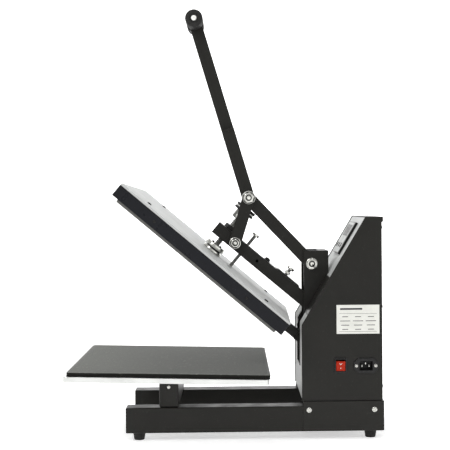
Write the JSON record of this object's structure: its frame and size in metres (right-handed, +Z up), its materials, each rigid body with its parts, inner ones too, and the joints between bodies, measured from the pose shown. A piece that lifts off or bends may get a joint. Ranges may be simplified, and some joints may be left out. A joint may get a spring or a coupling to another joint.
{
  "type": "clamshell heat press",
  "caption": "Tabletop clamshell heat press with a flat padded lower platen, a swing-up heated platen, an over-centre lever and a sloped control box.",
  "frame": {"origin": "centre of the press's overall footprint, on the surface its four feet stand on", "axes": "+Z up; -X is the front, where the platens open; +X is the rear of the control box; -Y is the side with the mains switch and inlet"},
  "size_m": [0.605, 0.4156, 0.8369],
  "materials": {
    "black_paint": "satin black stove enamel, fine orange peel",
    "band_paint": "smooth semi-gloss black enamel",
    "silver_paint": "satin silver enamel",
    "aluminium": "fine-milled aluminium",
    "non_stick": "dark grey non-stick coating",
    "zinc": "bright zinc plate",
    "rubber": "matt black rubber",
    "foam": "grey-green silicone sponge, matt",
    "black_plastic": "black moulded plastic",
    "red_plastic": "translucent red, glossy",
    "label_film": "white film, satin",
    "board": "pressed mineral fibre board"
  },
  "bodies": {
    "press": {"foot_front_near": "rubber", "foot_front_far": "rubber", "foot_rear_near": "rubber", "foot_rear_far": "rubber", "base_rail_near": "black_paint", "base_rail_far": "black_paint", "cross_bar_front": "black_paint", "cross_bar_rear": "black_paint", "chassis_tray": "black_paint", "platen_support": "black_paint", "platen_mount": "black_paint", "lower_platen": "aluminium", "foam_pad": "foam", "tower_foot": "black_paint", "tower_plate_near": "black_paint", "tower_plate_far": "black_paint", "tower_tie": "black_paint", "hinge_axle": "zinc", "lever_pivot_bolt": "zinc", "side_panel_near": "black_paint", "side_panel_far": "black_paint", "front_panel": "silver_paint", "rear_cover": "black_paint", "rating_label": "label_film", "switch_housing": "black_plastic", "power_inlet": "black_plastic", "controller_case": "black_plastic", "controller_face": "silver_paint", "display_window": "black_plastic"},
    "arm": {"arm_tube": "black_paint", "crank_plate_near": "black_paint", "crank_plate_far": "black_paint", "hinge_tube": "black_paint", "rear_tongue": "black_paint", "screw_nut": "zinc", "levelling_screw": "zinc"},
    "lever": {"lever_plate_near": "black_paint", "lever_plate_far": "black_paint", "lever_bridge": "black_paint", "handle_tube": "black_paint", "grip_near": "rubber", "grip_far": "rubber", "grip_bolt": "zinc", "elbow_bolt": "zinc"},
    "link": {"link_near": "black_paint", "link_far": "black_paint", "link_bolt_near": "zinc", "link_bolt_far": "zinc"},
    "platen": {"platen_band": "band_paint", "heating_plate": "non_stick", "insulation_board": "board", "platen_cover": "silver_paint", "thrust_collar": "zinc", "guide_bolt": "zinc"},
    "knob": {"pressure_screw": "zinc", "pressure_knob": "black_plastic"},
    "rocker": {"power_rocker": "red_plastic"},
    "mode_key": {"button_mode": "black_plastic"},
    "down_key": {"button_down": "black_plastic"},
    "up_key": {"button_up": "black_plastic"}
  },
  "joints": [
    {"name": "arm_tilt", "type": "hinge", "parent": "press", "child": "arm", "pos_m": [0.1929, 0, 0.1615], "axis": [0, -1, 0], "range_deg": [0, 38.7]},
    {"name": "lever_pull", "type": "hinge", "parent": "press", "child": "lever", "pos_m": [0.1703, 0, 0.3339], "axis": [0, -1, 0], "range_deg": [0, 66.17]},
    {"name": "link_swing", "type": "hinge", "parent": "lever", "child": "link", "pos_m": [0.0457, 0, 0.4659], "axis": [0, 1, 0], "range_deg": [0, 103.81]},
    {"name": "platen_lift", "type": "slide", "parent": "arm", "child": "platen", "axis": [0.6441, 0, 0.7649], "range_m": [0, 0.008]},
    {"name": "knob_turn", "type": "hinge", "parent": "platen", "child": "knob", "pos_m": [0.02936, 0, 0.42994], "axis": [0.6441, 0, 0.7649], "range_deg": [0, 721]},
    {"name": "rocker_tip", "type": "hinge", "parent": "press", "child": "rocker", "pos_m": [0.2192, -0.111, 0.142], "axis": [-1, 0, 0], "range_deg": [0, 18]},
    {"name": "mode_press", "type": "slide", "parent": "press", "child": "mode_key", "axis": [0.8584, 0, -0.513], "range_m": [0, 0.001], "stiffness_N_per_m": 800},
    {"name": "down_press", "type": "slide", "parent": "press", "child": "down_key", "axis": [0.8584, 0, -0.513], "range_m": [0, 0.001], "stiffness_N_per_m": 800},
    {"name": "up_press", "type": "slide", "parent": "press", "child": "up_key", "axis": [0.8584, 0, -0.513], "range_m": [0, 0.001], "stiffness_N_per_m": 800}
  ],
  "couplings": [
    {"joint": "lever_pull", "follows": "arm_tilt", "ratio": 1.7048},
    {"joint": "link_swing", "follows": "arm_tilt", "ratio": 2.6774},
    {"joint": "knob_turn", "follows": "platen_lift", "rad_per_m": 1570.8}
  ]
}
